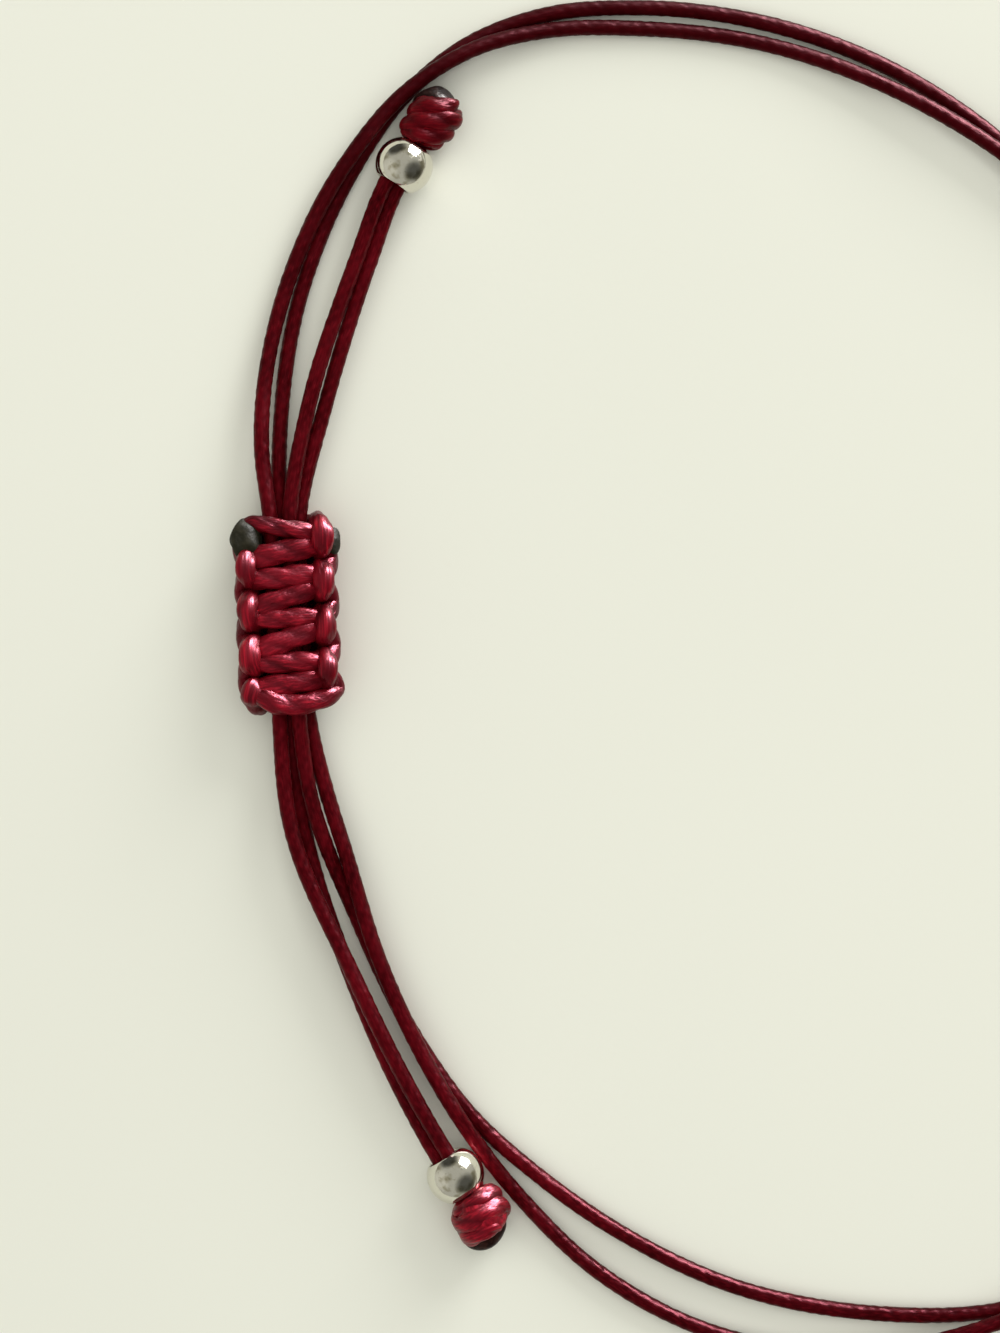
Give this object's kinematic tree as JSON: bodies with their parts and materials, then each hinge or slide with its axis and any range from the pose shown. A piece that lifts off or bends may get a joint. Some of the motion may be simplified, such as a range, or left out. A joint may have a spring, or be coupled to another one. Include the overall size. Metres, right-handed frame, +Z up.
{
  "type": "cord bracelet",
  "caption": "Adjustable waxed cord bracelet: a loop closed by a sliding square knot, with a drilled metal bead and an end knot on each pull tail.",
  "frame": {"origin": "middle of the bracelet in plan, on the surface that it lies on", "axes": "+X across the loop, away from the sliding knot; +Y along the loop, towards the upper tail's bead; +Z up from the surface"},
  "size_m": [0.0656, 0.0848, 0.004],
  "materials": {
    "waxed_cord": "deep red waxed polyester cord, half gloss, finely ribbed",
    "knot_cord": "the same waxed cord pressed flat and polished by tying, brighter crimson",
    "bead_metal": "polished silver-coloured metal"
  },
  "bodies": {
    "root": {"first_cord": "waxed_cord", "second_cord": "waxed_cord", "sliding_knot": "knot_cord", "upper_bead": "bead_metal", "lower_bead": "bead_metal", "upper_end_knot": "knot_cord", "lower_end_knot": "knot_cord"}
  },
  "joints": []
}
